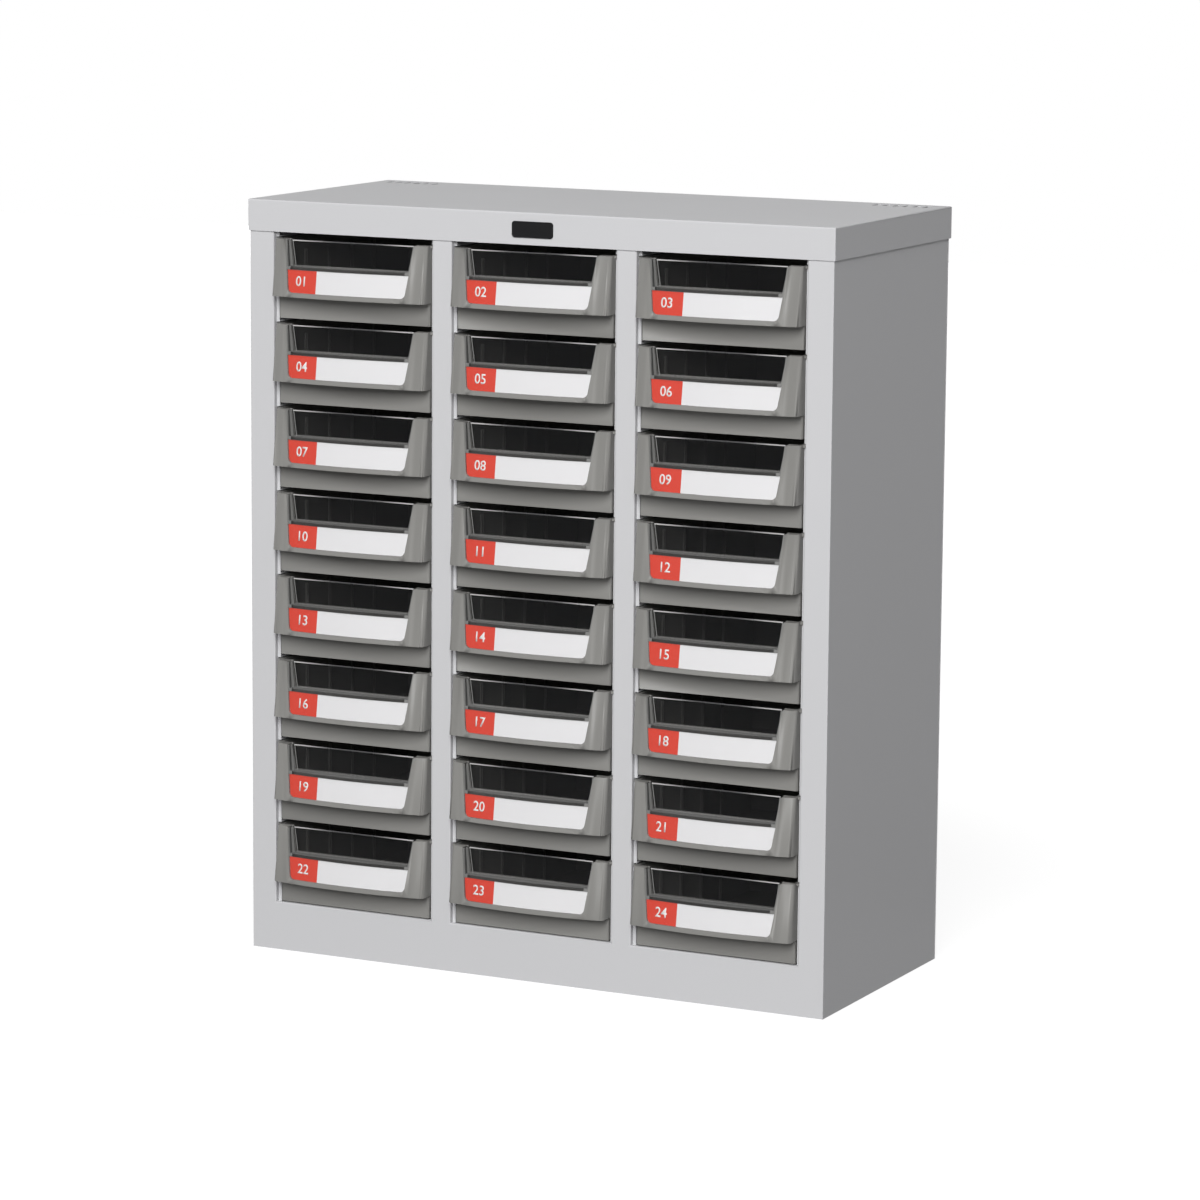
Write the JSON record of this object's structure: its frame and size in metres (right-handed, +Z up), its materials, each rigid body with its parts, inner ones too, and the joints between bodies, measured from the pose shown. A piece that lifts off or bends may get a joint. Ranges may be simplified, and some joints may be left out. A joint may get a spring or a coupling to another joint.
{
  "type": "parts bin cabinet",
  "caption": "Free-standing sheet-steel cabinet with columns of small sliding plastic drawers, each with a clear window and a label holder.",
  "frame": {"origin": "centre of the body's base, on the surface it stands on", "axes": "+Z up, the drawers face -Y and pull out along -Y, +X to the right seen from the front"},
  "size_m": [0.5354, 0.254, 0.64],
  "materials": {
    "casing_paint": "light grey powder coat with a fine texture",
    "tray_plastic": "mid grey moulded plastic, slightly satin",
    "clear_plastic": "clear moulded plastic over a white label card with a red field",
    "name_plate": "plain black",
    "rivets": "plain aluminium"
  },
  "bodies": {
    "casing": {"top_cap": "casing_paint", "left_side_panel": "casing_paint", "right_side_panel": "casing_paint", "back_panel": "casing_paint", "bottom_pan": "casing_paint", "front_frame": "casing_paint", "left_runner_upright": "casing_paint", "right_runner_upright": "casing_paint", "partition_1": "casing_paint", "partition_2": "casing_paint", "name_plate": "name_plate", "back_rivets": "rivets"},
    "drawer_01": {"drawer_01_tray": "tray_plastic", "drawer_01_window": "clear_plastic"},
    "drawer_02": {"drawer_02_tray": "tray_plastic", "drawer_02_window": "clear_plastic"},
    "drawer_03": {"drawer_03_tray": "tray_plastic", "drawer_03_window": "clear_plastic"},
    "drawer_04": {"drawer_04_tray": "tray_plastic", "drawer_04_window": "clear_plastic"},
    "drawer_05": {"drawer_05_tray": "tray_plastic", "drawer_05_window": "clear_plastic"},
    "drawer_06": {"drawer_06_tray": "tray_plastic", "drawer_06_window": "clear_plastic"},
    "drawer_07": {"drawer_07_tray": "tray_plastic", "drawer_07_window": "clear_plastic"},
    "drawer_08": {"drawer_08_tray": "tray_plastic", "drawer_08_window": "clear_plastic"},
    "drawer_09": {"drawer_09_tray": "tray_plastic", "drawer_09_window": "clear_plastic"},
    "drawer_10": {"drawer_10_tray": "tray_plastic", "drawer_10_window": "clear_plastic"},
    "drawer_11": {"drawer_11_tray": "tray_plastic", "drawer_11_window": "clear_plastic"},
    "drawer_12": {"drawer_12_tray": "tray_plastic", "drawer_12_window": "clear_plastic"},
    "drawer_13": {"drawer_13_tray": "tray_plastic", "drawer_13_window": "clear_plastic"},
    "drawer_14": {"drawer_14_tray": "tray_plastic", "drawer_14_window": "clear_plastic"},
    "drawer_15": {"drawer_15_tray": "tray_plastic", "drawer_15_window": "clear_plastic"},
    "drawer_16": {"drawer_16_tray": "tray_plastic", "drawer_16_window": "clear_plastic"},
    "drawer_17": {"drawer_17_tray": "tray_plastic", "drawer_17_window": "clear_plastic"},
    "drawer_18": {"drawer_18_tray": "tray_plastic", "drawer_18_window": "clear_plastic"},
    "drawer_19": {"drawer_19_tray": "tray_plastic", "drawer_19_window": "clear_plastic"},
    "drawer_20": {"drawer_20_tray": "tray_plastic", "drawer_20_window": "clear_plastic"},
    "drawer_21": {"drawer_21_tray": "tray_plastic", "drawer_21_window": "clear_plastic"},
    "drawer_22": {"drawer_22_tray": "tray_plastic", "drawer_22_window": "clear_plastic"},
    "drawer_23": {"drawer_23_tray": "tray_plastic", "drawer_23_window": "clear_plastic"},
    "drawer_24": {"drawer_24_tray": "tray_plastic", "drawer_24_window": "clear_plastic"}
  },
  "joints": [
    {"name": "drawer_01_slide", "type": "slide", "parent": "casing", "child": "drawer_01", "axis": [0, -1, 0], "range_m": [0, 0.18]},
    {"name": "drawer_02_slide", "type": "slide", "parent": "casing", "child": "drawer_02", "axis": [0, -1, 0], "range_m": [0, 0.18]},
    {"name": "drawer_03_slide", "type": "slide", "parent": "casing", "child": "drawer_03", "axis": [0, -1, 0], "range_m": [0, 0.18]},
    {"name": "drawer_04_slide", "type": "slide", "parent": "casing", "child": "drawer_04", "axis": [0, -1, 0], "range_m": [0, 0.18]},
    {"name": "drawer_05_slide", "type": "slide", "parent": "casing", "child": "drawer_05", "axis": [0, -1, 0], "range_m": [0, 0.18]},
    {"name": "drawer_06_slide", "type": "slide", "parent": "casing", "child": "drawer_06", "axis": [0, -1, 0], "range_m": [0, 0.18]},
    {"name": "drawer_07_slide", "type": "slide", "parent": "casing", "child": "drawer_07", "axis": [0, -1, 0], "range_m": [0, 0.18]},
    {"name": "drawer_08_slide", "type": "slide", "parent": "casing", "child": "drawer_08", "axis": [0, -1, 0], "range_m": [0, 0.18]},
    {"name": "drawer_09_slide", "type": "slide", "parent": "casing", "child": "drawer_09", "axis": [0, -1, 0], "range_m": [0, 0.18]},
    {"name": "drawer_10_slide", "type": "slide", "parent": "casing", "child": "drawer_10", "axis": [0, -1, 0], "range_m": [0, 0.18]},
    {"name": "drawer_11_slide", "type": "slide", "parent": "casing", "child": "drawer_11", "axis": [0, -1, 0], "range_m": [0, 0.18]},
    {"name": "drawer_12_slide", "type": "slide", "parent": "casing", "child": "drawer_12", "axis": [0, -1, 0], "range_m": [0, 0.18]},
    {"name": "drawer_13_slide", "type": "slide", "parent": "casing", "child": "drawer_13", "axis": [0, -1, 0], "range_m": [0, 0.18]},
    {"name": "drawer_14_slide", "type": "slide", "parent": "casing", "child": "drawer_14", "axis": [0, -1, 0], "range_m": [0, 0.18]},
    {"name": "drawer_15_slide", "type": "slide", "parent": "casing", "child": "drawer_15", "axis": [0, -1, 0], "range_m": [0, 0.18]},
    {"name": "drawer_16_slide", "type": "slide", "parent": "casing", "child": "drawer_16", "axis": [0, -1, 0], "range_m": [0, 0.18]},
    {"name": "drawer_17_slide", "type": "slide", "parent": "casing", "child": "drawer_17", "axis": [0, -1, 0], "range_m": [0, 0.18]},
    {"name": "drawer_18_slide", "type": "slide", "parent": "casing", "child": "drawer_18", "axis": [0, -1, 0], "range_m": [0, 0.18]},
    {"name": "drawer_19_slide", "type": "slide", "parent": "casing", "child": "drawer_19", "axis": [0, -1, 0], "range_m": [0, 0.18]},
    {"name": "drawer_20_slide", "type": "slide", "parent": "casing", "child": "drawer_20", "axis": [0, -1, 0], "range_m": [0, 0.18]},
    {"name": "drawer_21_slide", "type": "slide", "parent": "casing", "child": "drawer_21", "axis": [0, -1, 0], "range_m": [0, 0.18]},
    {"name": "drawer_22_slide", "type": "slide", "parent": "casing", "child": "drawer_22", "axis": [0, -1, 0], "range_m": [0, 0.18]},
    {"name": "drawer_23_slide", "type": "slide", "parent": "casing", "child": "drawer_23", "axis": [0, -1, 0], "range_m": [0, 0.18]},
    {"name": "drawer_24_slide", "type": "slide", "parent": "casing", "child": "drawer_24", "axis": [0, -1, 0], "range_m": [0, 0.18]}
  ]
}
